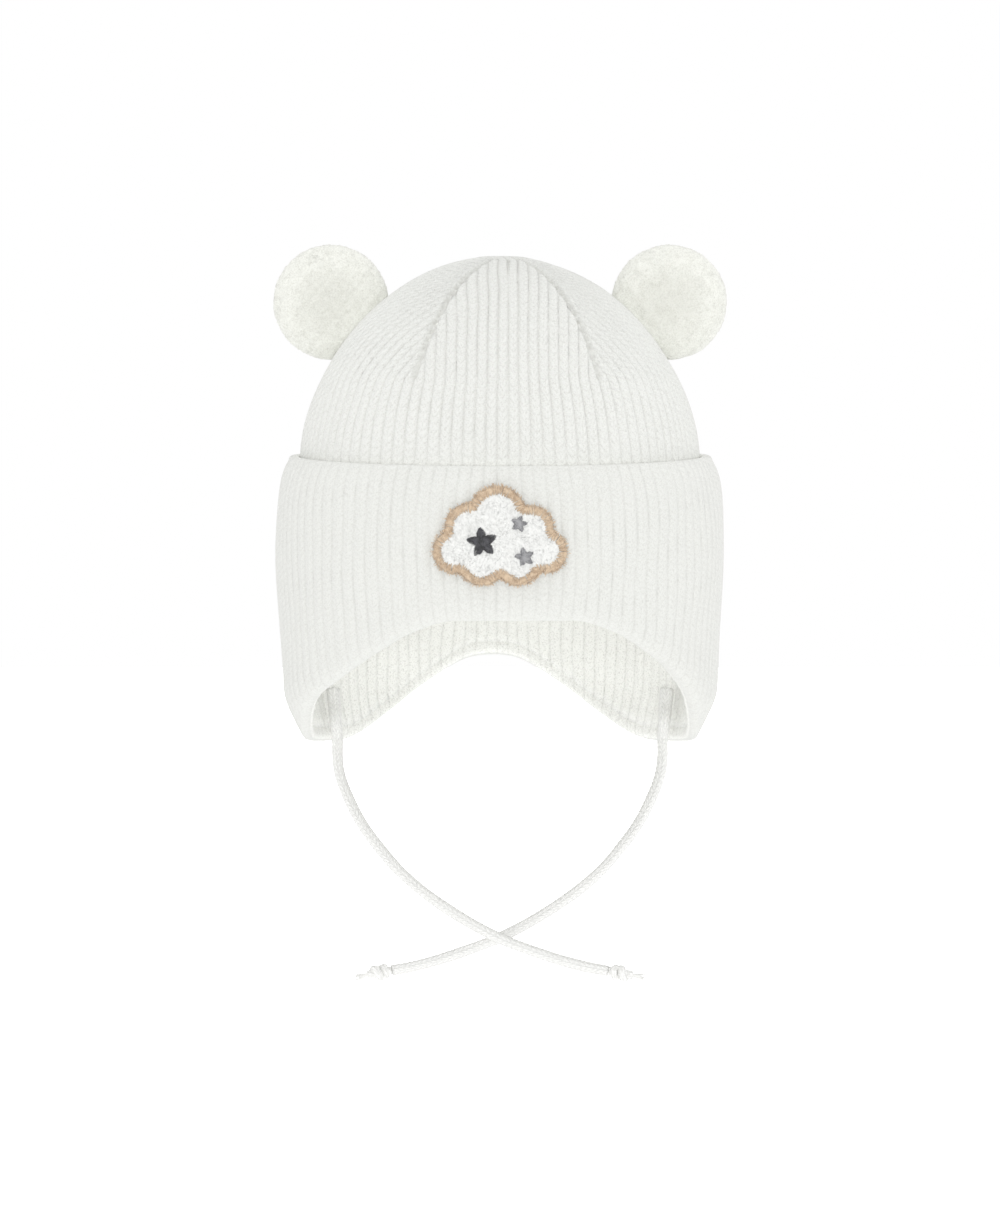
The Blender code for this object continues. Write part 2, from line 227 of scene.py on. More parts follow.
def noise(tree, scale, detail=2.0):
    place3d = addNode(tree, "ShaderNodeTexCoord").outputs["Object"]
    made = addNode(tree, "ShaderNodeTexNoise", (place3d,))
    made.inputs["Scale"].default_value = scale
    made.inputs["Detail"].default_value = detail
    return made.outputs[0]


def addBump(tree, shader, height, strength, distance):
    bump = addNode(tree, "ShaderNodeBump")
    bump.inputs["Strength"].default_value = strength
    bump.inputs["Distance"].default_value = distance
    tree.links.new(height, bump.inputs["Height"])
    tree.links.new(bump.outputs[0], shader.inputs["Normal"])


def newMaterial(name, roughness, sheen):
    made = bpy.data.materials.new(name)
    made.use_nodes = True
    shader = made.node_tree.nodes["Principled BSDF"]
    shader.inputs["Roughness"].default_value = roughness
    shader.inputs["Specular IOR Level"].default_value = 0.25
    shader.inputs["Sheen Weight"].default_value = sheen
    shader.inputs["Sheen Roughness"].default_value = 0.6
    return made, made.node_tree, shader


knitLook = {
    "yarn": (0.80, 0.807, 0.778),
    # painted light: the inner face's yarn is much paler than the outer yarn, standing in for the light that
    # does not reach inside the hat
    "insideLitYarn": (0.985, 0.99, 0.955),
    "hollowShade": (0.62, 0.62, 0.585),
    "stitchSlope": 0.85,
    "ribShift": 0.37,  # how much further along each rib's stitches start
    "bump": 0.0006,
    "bumpStrength": 0.6,
    "fuzz": 1500.0,
    "grain": 0.6,
    "speckScale": 1900.0,
    "speck": 4.4,
    "cloudScale": 60.0,
    "cloudy": 0.25,
    "range": (2.25, 3.85),
    "darkest": 0.3,
    "holeShade": 0.42,
    "holesPerStitch": 1.0,
    "loops": 0.5,
    "insideSoft": 0.6,  # how much fainter the loops are on the inner face
}
brushedLook = {
    **knitLook,
    "yarn": (0.775, 0.782, 0.752),
    "bumpStrength": 0.45,
    "speck": 3.6,
    "range": (1.90, 3.60),
    "holeShade": 0.2,
    "loops": 0.4,
    "insideSoft": 0.1,
}
# the ties' yarn is paler than the hat's: partly their own paler colour, partly painted light where the flap
# shades their tops
tieLook = {
    **knitLook,
    "yarn": (0.97, 0.97, 0.95),
    "hollowShade": (0.86, 0.86, 0.84),
    "loops": 0.9,
    "holeShade": 0.1,
}


def knitMaterial(name, look):
    made, tree, shader = newMaterial(name, 0.9, 0.25)
    uv = addNode(tree, "ShaderNodeUVMap", uv_map="stitches").outputs[0]
    split = addNode(tree, "ShaderNodeSeparateXYZ", (uv,))
    across, along = split.outputs[0], split.outputs[1]
    along = plus(tree, along, times(tree, maths(tree, "FLOOR", across), look["ribShift"]))
    # side is 0 on the crest of a rib and 1 in the groove
    offCrest = less(tree, maths(tree, "FRACT", across), 0.5)
    side = times(tree, maths(tree, "ABSOLUTE", offCrest), 2.0)
    # the slanting legs of the stitches, for the bump and for painted shade in the creases between legs and
    # in the grooves
    slant = maths(tree, "FRACT", less(tree, along, times(tree, side, look["stitchSlope"])))
    leg = maths(tree, "POWER", maths(tree, "SINE", times(tree, slant, math.pi)), 0.6)
    crease = ramp(tree, side, 0.0, 0.22, 0.45, 1.0)
    groove = ramp(tree, side, 0.72, 1.0, 1.0, 0.0)
    loop = times(tree, times(tree, leg, crease), groove)
    inner = addNode(tree, "ShaderNodeAttribute", attribute_name="inside").outputs["Fac"]
    softened = less(tree, 1.0, times(tree, inner, look["insideSoft"]))
    seen = times(tree, look["loops"], softened)
    loop = less(tree, 1.0, times(tree, seen, less(tree, 1.0, loop)))
    # fibres, lighter and darker specks, and slow clouds of both
    grain = times(tree, noise(tree, look["fuzz"]), look["grain"])
    cloudy = noise(tree, look["cloudScale"])
    addBump(tree, shader, plus(tree, loop, grain), look["bumpStrength"], look["bump"])
    mixed = plus(tree, plus(tree, loop, times(tree, cloudy, look["cloudy"])), grain)
    mixed = plus(tree, mixed, times(tree, noise(tree, look["speckScale"]), look["speck"]))
    lit = ramp(tree, mixed, *look["range"], look["darkest"], 1.0)
    # painted shade: small dark holes along the grooves
    wave = maths(tree, "SINE", times(tree, along, fullTurn * look["holesPerStitch"]))
    beat = plus(tree, 0.5, times(tree, 0.5, wave))
    holeShading = times(tree, maths(tree, "POWER", beat, 2.5), ramp(tree, side, 0.78, 0.97, 0.0, 1.0))
    holeShading = times(tree, holeShading, ramp(tree, cloudy, 0.38, 0.62, 0.25, 1.0))
    shade = addNode(tree, "ShaderNodeAttribute", attribute_name="shade").outputs["Fac"]
    shade = plus(tree, shade, times(tree, holeShading, look["holeShade"]))
    lit = times(tree, lit, less(tree, 1.0, shade))
    # painted light: where the inside attribute is set, a paler yarn stands in for light that the hollow and
    # the crevice under the brim's top lack
    yarn = mixColour(tree, inner, look["yarn"], look["insideLitYarn"])
    # the colour darkens towards a painted shade colour in creases, grooves and holes, and varies at random
    # with the fibres, specks and clouds
    tree.links.new(mixColour(tree, lit, look["hollowShade"], yarn), shader.inputs["Base Color"])
    return made


def plushMaterial(name, tip, root, grain):
    made, tree, shader = newMaterial(name, 0.95, 0.4)
    fine = noise(tree, grain, 3.0)
    slow = noise(tree, grain * 0.16)
    shade = addNode(tree, "ShaderNodeAttribute", attribute_name="shade").outputs["Fac"]
    lit = plus(tree, times(tree, fine, 0.9), times(tree, slow, 0.3))
    lit = times(tree, ramp(tree, lit, 0.25, 0.75), less(tree, 1.0, shade))
    tree.links.new(mixColour(tree, lit, root, tip), shader.inputs["Base Color"])
    addBump(tree, shader, fine, 0.7, 0.0004)
    return made


def threadMaterial(name, light, dark):
    made, tree, shader = newMaterial(name, 0.5, 0.1)
    fine = noise(tree, 2600.0)
    slow = noise(tree, 500.0)
    mixed = plus(tree, times(tree, fine, 0.5), times(tree, slow, 0.5))
    tree.links.new(mixColour(tree, ramp(tree, mixed, 0.35, 0.62), dark, light), shader.inputs["Base Color"])
    addBump(tree, shader, fine, 0.5, 0.0001)
    return made


creamKnit = knitMaterial("creamKnit", knitLook)
brushedKnit = knitMaterial("brushedKnit", brushedLook)
tieKnit = knitMaterial("tieKnit", tieLook)
creamPlush = plushMaterial("creamPlush", (0.885, 0.892, 0.836), (0.67, 0.67, 0.61), 1900.0)
whitePlush = plushMaterial("whitePlush", (0.90, 0.905, 0.885), (0.80, 0.80, 0.775), 1400.0)
tanThread = threadMaterial("tanThread", (0.74, 0.59, 0.43), (0.47, 0.34, 0.23))
charcoalThread = threadMaterial("charcoalThread", (0.10, 0.10, 0.11), (0.03, 0.03, 0.03))
greyThread = threadMaterial("greyThread", (0.42, 0.42, 0.43), (0.16, 0.16, 0.17))
print("materials made")


# Meshes
def ringFaces(first, second, columns):
    here = np.arange(columns)
    after = (here + 1) % columns
    return np.stack([first + here, first + after, second + after, second + here], axis=1)


def makeMesh(name, points, faceLists, finish, uvs=None, shade=None, inside=None):
    # faceLists are arrays of triangles or quads, and uvs one array of corners for each of them
    mesh = bpy.data.meshes.new(name)
    points = np.asarray(points, np.float32)
    corners = np.concatenate([faces.reshape(-1) for faces in faceLists]).astype(np.int32)
    sizes = np.concatenate([np.full(len(faces), faces.shape[1]) for faces in faceLists]).astype(np.int32)
    mesh.vertices.add(len(points))
    mesh.vertices.foreach_set("co", points.reshape(-1))
    mesh.loops.add(len(corners))
    mesh.loops.foreach_set("vertex_index", corners)
    mesh.polygons.add(len(sizes))
    mesh.polygons.foreach_set("loop_start", np.concatenate([[0], np.cumsum(sizes)[:-1]]).astype(np.int32))
    mesh.update(calc_edges=True)
    mesh.shade_smooth()
    if uvs is not None:
        layer = mesh.uv_layers.new(name="stitches")
        layer.data.foreach_set("uv", np.concatenate([uv.reshape(-1) for uv in uvs]).astype(np.float32))
    for layerName, values in (("shade", shade), ("inside", inside)):
        if values is not None:
            layer = mesh.attributes.new(layerName, "FLOAT", "POINT")
            layer.data.foreach_set("value", np.asarray(values, np.float32))
    mesh.validate()
    piece = bpy.data.objects.new(name, mesh)
    bpy.context.scene.collection.objects.link(piece)
    mesh.materials.append(finish)
    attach(piece, "root")
    return piece


def frames(path):
    # tangent and two cross directions along a path, turned as little as possible
    path = np.asarray(path, float)
    tangents = np.gradient(path, axis=0)
    tangents /= np.linalg.norm(tangents, axis=1)[:, None]
    start = np.cross(tangents[0], (0.31, 0.87, 0.38))
    sides = [start / np.linalg.norm(start)]
    for tangent in tangents[1:]:
        side = sides[-1] - tangent * np.dot(sides[-1], tangent)
        sides.append(side / np.linalg.norm(side))
    sides = np.array(sides)
    return tangents, sides, np.cross(tangents, sides)


def tube(path, radii, sides, first=0):
    # points and faces of a closed tube, with its first point's number
    path = np.asarray(path, float)
    radii = np.broadcast_to(radii, len(path)) if np.ndim(radii) < 2 else radii
    angles = np.arange(sides) * fullTurn / sides
    tangents, across, up = frames(path)
    ring = np.cos(angles)[None, :, None] * across[:, None] + np.sin(angles)[None, :, None] * up[:, None]
    reach = radii[:, None, None] if radii.ndim == 1 else radii[:, :, None]
    points = path[:, None] + ring * reach
    count = len(path)
    points = np.concatenate([points.reshape(-1, 3), path[:1], path[-1:]])
    starts = first + np.arange(count) * sides
    quads = np.concatenate([ringFaces(low, high, sides) for low, high in zip(starts, starts[1:])])
    here = np.arange(sides)
    after = (here + 1) % sides
    start, end = first + count * sides, first + count * sides + 1
    last = first + (count - 1) * sides
    caps = np.concatenate([
        np.stack([first + after, first + here, np.full(sides, start)], axis=1),
        np.stack([last + here, last + after, np.full(sides, end)], axis=1),
    ])
    return points, quads, caps


def strandBundle(name, strands, finish):
    # many short strands in one piece: each is (path, radii, sides)
    points, quads, caps = [], [], []
    first = 0
    for path, radii, sides in strands:
        some, someQuads, someCaps = tube(path, radii, sides, first)
        points.append(some)
        quads.append(someQuads)
        caps.append(someCaps)
        first += len(some)
    faceLists = [np.concatenate(quads), np.concatenate(caps)]
    return makeMesh(name, np.concatenate(points), faceLists, finish)


# Ties, along the route that the CAD part gives them
ties = {
    "diameter": 0.0040,
    "knotWidth": 0.0062,
    "knotLength": 0.0090,
    "wraps": 1.55,
    "wrapSteps": 26,
    "tailLength": 0.0058,
    "tailStrands": 16,
    "tailRadii": (0.00036, 0.00020),
    "columns": 5,
    "stitch": 0.0021,
    "crossingHeight": -0.2544,
    "crossingReach": 0.030,
    "behind": {"left": 0.0046, "right": 0.0},
    "bow": 0.0018,  # outwards, from the first of these heights down to the second
    "bowTop": (-0.166, 0.030),
    "bowEnd": (-0.2570, 0.012),
    "sewnLength": 0.022,
    "sewnWider": 0.22,
}
tieRoute = (
    (0.0632, 0.0301, -0.1624), (0.0627, 0.0281, -0.1680), (0.0619, 0.0251, -0.1738),
    (0.0606, 0.0249, -0.1810), (0.0600, 0.0235, -0.1876), (0.0586, 0.0215, -0.1947),
    (0.0551, 0.0185, -0.2036), (0.0502, 0.0152, -0.2126), (0.0435, 0.0118, -0.2215),
    (0.0353, 0.0082, -0.2305), (0.0245, 0.0045, -0.2393), (0.0108, 0.0008, -0.2482),
    (0.0000, -0.0016, -0.2544), (-0.0095, -0.0036, -0.2580), (-0.0212, -0.0058, -0.2618),
    (-0.0318, -0.0076, -0.2645), (-0.0405, -0.0090, -0.2660),
)  # across on its own side, back and height
knotStart = ((0.35, 0.6, 0.3), (0.66, 1.4, 0.8))
knotEnd = ((0.30, 12.2, 0.9), (0.50, 12.7, 0.5), (0.75, 13.2, 0.2), (0.98, 0.0, 0.0), (1.05, 0.0, 0.0))
# share of the knot's length, turn in radians and distance out in yarns, before and after the wraps


def smoothPath(route, count):
    route = np.asarray(route, float)
    ends = np.concatenate([[2 * route[0] - route[1]], route, [2 * route[-1] - route[-2]]])
    fine = []
    for before, start, end, after in zip(ends, ends[1:], ends[2:], ends[3:]):
        for step in range(20):
            t = step / 20
            fine.append(0.5 * (
                2 * start + (end - before) * t + (2 * before - 5 * start + 4 * end - after) * t**2
                + (3 * start - before - 3 * end + after) * t**3
            ))
    fine.append(route[-1])
    fine = np.array(fine)
    lengths = np.concatenate([[0], np.cumsum(np.linalg.norm(np.diff(fine, axis=0), axis=1))])
    wanted = np.linspace(0, lengths[-1], count)
    return np.stack([np.interp(wanted, lengths, fine[:, axis]) for axis in range(3)], axis=1), lengths[-1]


def tubeUv(rings, sides, columns, rows):
    along = np.arange(rings) * rows / (rings - 1)
    across = np.arange(sides + 1) * columns / sides
    uv = np.empty((rings - 1, sides, 4, 2))
    uv[..., 0, 0] = uv[..., 3, 0] = across[None, :-1]
    uv[..., 1, 0] = uv[..., 2, 0] = across[None, 1:]
    uv[..., 0, 1] = uv[..., 1, 1] = along[:-1, None]
    uv[..., 2, 1] = uv[..., 3, 1] = along[1:, None]
    return uv.reshape(-1, 4, 2)


def makeKnot(name, end, forward, node):
    # the tie wraps round itself one and a half times, goes back through and leaves a frayed tail
    forward = forward / np.linalg.norm(forward)
    side = np.cross(forward, (0.0, 1.0, 0.0))
    side /= np.linalg.norm(side)
    up = np.cross(side, forward)
    yarn = ties["knotWidth"] / 4
    length = ties["knotLength"]
    rings, sides = 90, 14

    def at(along, angle, radius):
        return end + forward * along + (side * math.cos(angle) + up * math.sin(angle)) * radius

    path = [at(0.0002, 0.0, 0.0)]
    path += [at(length * share, turn, yarn * out) for share, turn, out in knotStart]
    for step in range(ties["wrapSteps"] + 1):
        t = step / ties["wrapSteps"]
        path.append(at(length * (0.80 - 0.56 * t), 1.6 + t * fullTurn * ties["wraps"], yarn * 1.02))
    path += [at(length * share, turn, yarn * out) for share, turn, out in knotEnd]
    path, _ = smoothPath(path, rings)
    angles = np.arange(sides) * fullTurn / sides
    plump = 1 + 0.06 * np.sin(np.arange(rings)[:, None] * 1.1) + 0.05 * np.cos(5 * angles)[None]
    points, quads, caps = tube(path, yarn * plump, sides)
    strands = []
    for number in range(ties["tailStrands"]):  # the frayed tail
        angle = number * 2.4
        spread = 0.25 + 0.75 * ((number * 0.37) % 1.0)
        reach = ties["tailLength"] * (0.75 + 0.25 * ((number * 0.61) % 1.0))
        line = []
        for t in np.linspace(0, 1, 6):
            out = 0.18 + spread * (0.25 + 0.75 * t * t) * 0.85
            line.append(at(length * 0.94 + reach * t, angle + 0.5 * t, yarn * out))
        strands.append((line, np.linspace(*ties["tailRadii"], 6), 5))
    knot = makeMesh(name, points, [quads, caps], tieKnit, [
        tubeUv(rings, sides, 3, 12.0), np.zeros((len(caps), 3, 2)),
    ])
    tail = strandBundle(name.replace("knot", "tail"), strands, tieKnit)
    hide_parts(node)
    return knot, tail


def makeTie(side):
    sign = 1 if side == "left" else -1
    (bowTop, topOver), (bowEnd, endOver) = ties["bowTop"], ties["bowEnd"]
    route = []
    for across, back, height in tieRoute:
        near = float(smoothStep(1 - abs(height - ties["crossingHeight"]) / ties["crossingReach"]))
        bowed = smoothStep((bowTop - height) / topOver) * smoothStep((height - bowEnd) / endOver)
        bowed = bowed * float(across > 0)
        route.append((sign * (across + ties["bow"] * bowed), back + ties["behind"][side] * near, height))
    rings, sides = 260, 20
    path, length = smoothPath(route, rings)
    angles = np.arange(sides) * fullTurn / sides
    rows = length / ties["stitch"]
    along = np.arange(rings) * rows / (rings - 1)
    chain = ribShape(angles / fullTurn * ties["columns"])[None]
    loops = 0.5 + 0.5 * np.cos(fullTurn * along)[:, None]
    radii = ties["diameter"] / 2 * (0.98 + 0.08 * chain + 0.025 * loops * chain)
    radii = radii * (1 + 0.04 * ripple(along[:, None] * 0.13, 0.0, sign))
    sewn = smoothStep(1 - np.linspace(0, length, rings) / ties["sewnLength"])[:, None]
    radii = radii * (1 + ties["sewnWider"] * sewn)
    points, quads, caps = tube(path, radii, sides)
    name = "tie" + side.capitalize()
    piece = makeMesh(name, points, [quads, caps], tieKnit, [
        tubeUv(rings, sides, ties["columns"], rows), np.zeros((len(caps), 3, 2)),
    ])
    knot, tail = makeKnot("knot" + side.capitalize(), path[-1], path[-1] - path[-3], "knot_" + side)
    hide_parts("tie_" + side)
    print("tie", side, "length", round(length, 4))


for side in ("left", "right"):
    makeTie(side)

# Crown and brim
knit = {
    "columnsPerRib": 8,
    "relief": 0.0012,
    "stitch": 0.0024,
    "unevenness": 0.0004,
    "thinnedEnd": 0.0016,
    "grooveShade": 0.16,
    "waver": 0.10,  # sideways wander of a rib, in ribs
    "insideWaver": 0.22,
    "panelRibs": (9, 17),  # half the ribs of the front panel and of a side panel
    "apexShift": 0.0033,  # the decreases of the crown sit this far to the right
    "seamReach": 0.0016,  # the ribs sink within this distance of a decrease line
    "markWidth": (0.0017, 0.0010),  # its marks reach this far, and fade over this much
    "markPitch": 0.0034,
    "markDepth": 0.0012,
    "markShade": 0.80,
    "brimFade": (0.35, 0.12),  # relief beside the brim, and the share of the dome by which it is full
    "hiddenShade": 0.22,
    "crownShort": 0.0035,  # the crown ends this far above the lower edge
    "firstRow": 0.1,  # height from which the stitches' rows are counted, below the brim's top
    "crownRows": (6, 58, 18, 32),  # under the brim, dome, inside of the dome, inside below it
    "brimRows": 62,
}
columns = hat["ribs"] * knit["columnsPerRib"]
ribAngle = fullTurn / hat["ribs"]
fieldAngle = np.arange(columns) * fullTurn / columns


def ribField(share, radius):
    # rib position and how far each column is from a decrease line, at a share of the full radius
    ribs = fieldAngle / ribAngle
    quarter = hat["ribs"] / 4
    middle = np.round(ribs / quarter) * quarter
    isFront = np.round(ribs / quarter) % 2 == 0
    frontHalf, sideHalf = knit["panelRibs"]
    step = np.where(ribs > middle, quarter, -quarter)
    isSide = isFront & (np.abs(ribs - middle) > frontHalf)
    middle = np.where(isSide, middle + step, middle)
    half = np.where(isFront & ~isSide, frontHalf, sideHalf)
    offset = ribs - middle
    narrowed = min(1.0, share / hat["decreaseStart"])
    line = (half - np.abs(offset)) * ribAngle * radius
    if narrowed == 1.0:
        line = np.full(columns, 1.0)
    return middle + offset * narrowed, line


def upright(ribs, row, amount):
    return ribs + amount * ripple(fieldAngle * 2.0, row, 0.7)


def stitchRow(drop):
    return (knit["firstRow"] - drop) / knit["stitch"]


def knitGrid(name, rings, poles, finish, insideFrom, paintedLitRows):
    # a ring is (radius, height, rib position, stitch row, shade, azimuth), bottom to top and back down
    points = np.concatenate([place(azimuth, radius, height) for radius, height, _, _, _, azimuth in rings])
    shade = np.concatenate([np.broadcast_to(ring[4], columns) for ring in rings])
    quads, quadUv, caps, capUv = [], [], [], []
    count = len(rings)
    for row in range(count):
        if row in poles:
            continue
        after = (row + 1) % count
        quads.append(ringFaces(row * columns, after * columns, columns))
        uv = np.empty((columns, 4, 2))
        for corner, (ring, turned) in enumerate(((row, 0), (row, 1), (after, 1), (after, 0))):
            ribs = np.asarray(rings[ring][2])
            moved = np.roll(ribs, -turned)
            uv[:, corner, 0] = np.where(np.abs(moved - ribs) > 0.45, ribs + 0.01, moved) if turned else ribs
            stitches = rings[ring][3]
            uv[:, corner, 1] = stitches if np.ndim(stitches) == 0 else np.roll(stitches, -turned)
        quadUv.append(uv)
    first = len(points)
    extra = []
    for number, row in enumerate(poles):
        for ring in (row, row + 1):
            middle = np.mean(points[ring * columns:(ring + 1) * columns], axis=0)
            extra.append(middle)
            here = ring * columns + np.arange(columns)
            after = ring * columns + (np.arange(columns) + 1) % columns
            hub = np.full(columns, first + len(extra) - 1)
            caps.append(np.stack([here, after, hub] if ring == row else [after, here, hub], axis=1))
            capUv.append(np.zeros((columns, 3, 2)))
    if extra:
        points = np.concatenate([points, extra])
        shade = np.concatenate([shade, np.zeros(len(extra))])
    # painted light: the inside attribute marks the inner face and the listed rows, whose yarn is painted
    # paler
    inside = (np.arange(len(points)) >= insideFrom * columns).astype(float)
    for row, amount in paintedLitRows:
        inside[row * columns:(row + 1) * columns] = amount
    return makeMesh(
        name, points, [np.concatenate(quads), *caps], finish,
        [np.concatenate(quadUv), *capUv], shade, inside,
    )


def shiftedAzimuth(radius):
    shift = np.minimum(knit["apexShift"], radius * 0.3)
    return fieldAngle + np.arcsin(np.clip(shift * np.cos(fieldAngle) / radius, -0.9, 0.9))


lowerAzimuth = shiftedAzimuth(np.full(columns, hat["width"] / 2))


def domeRing(row, rows, inside):
    turn = row / rows * math.pi / 2
    rise = min(math.sin(turn), 0.99999)
    share = max(float(domeShare(rise)), 0.012)
    low, high = max(rise - 0.004, 0.0), min(rise + 0.004, 1.0)
    dr = float(domeShare(high) - domeShare(low)) * hat["width"] / 2
    dz = (high - low) * hat["domeHeight"] * hat["domeLow"]
    size = math.hypot(dr, dz)
    normalOut, normalUp = dz / size, -dr / size
    azimuth = shiftedAzimuth(share * hat["width"] / 2)
    base = ovalRadius(azimuth) * share * hat["domeSlim"]
    ribs, line = ribField(share, base)
    along = stitchRow(-hat["domeHeight"] * 1.25 * turn / (math.pi / 2))
    ribs = upright(ribs, along * 0.12, knit["waver"])
    body = ribShape(ribs) * smoothStep(line / knit["seamReach"])
    marked, markFade = knit["markWidth"]
    beat = 0.5 + 0.5 * np.cos(fullTurn * along * knit["stitch"] / knit["markPitch"])
    mark = smoothStep((marked - line) / markFade) * beat**1.5
    fade = smoothStep((share - 0.02) / 0.10)  # flat at the very top
    atBrim, brimReach = knit["brimFade"]
    nearBrim = atBrim + (1 - atBrim) * smoothStep(rise / brimReach)
    depth = knit["relief"] * (1 - body) * fade * nearBrim + knit["markDepth"] * mark * fade
    depth = depth - knit["unevenness"] * ripple(azimuth * 1.7, along * 0.10, 2.0) * fade
    shade = knit["grooveShade"] * (1 - body) ** 2 * fade + knit["markShade"] * mark * fade
    if inside:
        depth = hat["wall"] - 0.5 * depth
    radius = np.maximum(base - depth * normalOut, 0.0004)
    height = brimTop + hat["domeHeight"] * hat["domeLow"] * rise - depth * normalUp
    return radius, height, ribs, along, shade, azimuth


def insideSurface(azimuth, full, drop):
    # the inner face of the knit, at a distance below the brim's top
    along = stitchRow(drop)
    ribs = upright(fieldAngle / ribAngle, along * 0.12, knit["insideWaver"])
    body = ribShape(ribs)
    depth = knit["relief"] * (1 - body)
    far = smoothStep((full - drop - 0.006) / 0.020)
    ribbed = 0.2 + 0.6 * smoothStep((full - drop - 0.001) / 0.008)
    radius = lowerRadius(azimuth, drop) - hat["wall"] + ribbed * depth
    radius = radius + 1.5 * knit["unevenness"] * ripple(azimuth * 2.1, along * 0.16, 4.0) * far
    low = smoothStep((drop / hat["flapDrop"] - 0.74) / 0.26)
    return radius + knit["thinnedEnd"] * low, ribs, along, knit["grooveShade"] * (1 - body) ** 2


def lowerRing(up, inside):
    full = rimDrop(lowerAzimuth)
    drop = (full - knit["crownShort"]) * (1 - up)
    if inside:
        radius, ribs, along, shade = insideSurface(lowerAzimuth, full, drop)
        return radius, brimTop - drop, ribs, along, shade, lowerAzimuth
    along = stitchRow(drop)
    ribs = upright(fieldAngle / ribAngle, along * 0.12, knit["waver"])
    body = ribShape(ribs)
    radius = lowerRadius(lowerAzimuth, drop) - knit["relief"] * (1 - body)
    return radius, brimTop - drop, ribs, along, knit["hiddenShade"] * (1 - body) ** 2, lowerAzimuth


def makeCrown():
    hidden, dome, insideDome, insideLow = knit["crownRows"]
    rings = [lowerRing(row / hidden, False) for row in range(hidden)]
    rings += [domeRing(row, dome, False) for row in range(dome)]
    top = len(rings) - 1
    rings += [domeRing(row, insideDome, True) for row in range(insideDome - 1, -1, -1)]
    rings += [lowerRing(1 - (row + 1) / insideLow, True) for row in range(insideLow)]
    # painted light: where the brim's top shades it, the knit is painted nearly as pale as the inside,
    # against the shade of the crevice
    crownLitRows = ((hidden - 1, 1.0), (hidden, 0.30))
    crown = knitGrid("crownKnit", rings, (top,), creamKnit, top + 1, crownLitRows)
    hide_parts("crown")
    print("crown made,", len(crown.data.polygons), "faces")


brim = {
    "relief": 0.65,  # of the crown's ribs
    "grooveShade": 0.12,
    "lip": 0.0080,  # how far up the turned edge starts to curve in
    "flapLip": 0.0150,  # the same at the ends of the flaps
    "flapFrom": 0.72,
    "lipBelow": 0.0018,
    "lipMiddle": 0.0018,
    "turnedIn": 0.0010,
    "insideLip": 0.0040,
    "proud": 0.00005,
    "edge": ((0.0020, -0.00005), (0.0030, 0.0), (0.0040, 0.0002), (0.0044, 0.0010)),  # rise, sunk
    "topRound": 0.0020,
    "innerRound": 0.4,  # fuller on the crown's side
    "bulge": 0.0006,
    "taper": 0.0043,  # thinner at its top, over this reach
    "taperReach": 0.0068,
    "lowTaper": (0.0022, 0.030, 0.050),  # thinner lower down too, from a drop on and over a reach
    "hug": 0.0006,
    "topRise": 0.0010,
    "frontSag": 0.0023,
    "innerRows": 8,  # rows at the end that belong to the inner face
    # painted light: rows of the rounded top painted as pale as the inside, against the shade between brim
    # and crown
    "paintedLitRows": ((4, 0.8), (5, 0.8), (6, 0.8), (7, 0.8), (8, 0.8), (9, 0.4)),  # row, amount
}


def brimRing(drop, offset, extra, ribbed, along):
    ribs = upright(fieldAngle / ribAngle, along * 0.10 + 3.0, knit["waver"] * 1.3)
    body = ribShape(ribs)
    uneven = knit["unevenness"] * ripple(lowerAzimuth * 2.3, along * 0.09, 5.0) * ribbed
    depth = knit["relief"] * brim["relief"] * (1 - body) * ribbed
    radius = lowerRadius(lowerAzimuth, drop) + offset - depth + uneven
    shade = brim["grooveShade"] * (1 - body) ** 2 * ribbed
    return radius, brimTop - drop + extra, ribs, along, shade, lowerAzimuth


def brimTaper(drop):
    # how much thinner than its thickest the turned-up brim is, at a distance below its top
    low, start, reach = brim["lowTaper"]
    return brim["taper"] * np.exp(-drop / brim["taperReach"]) + low * smoothStep((drop - start) / reach)


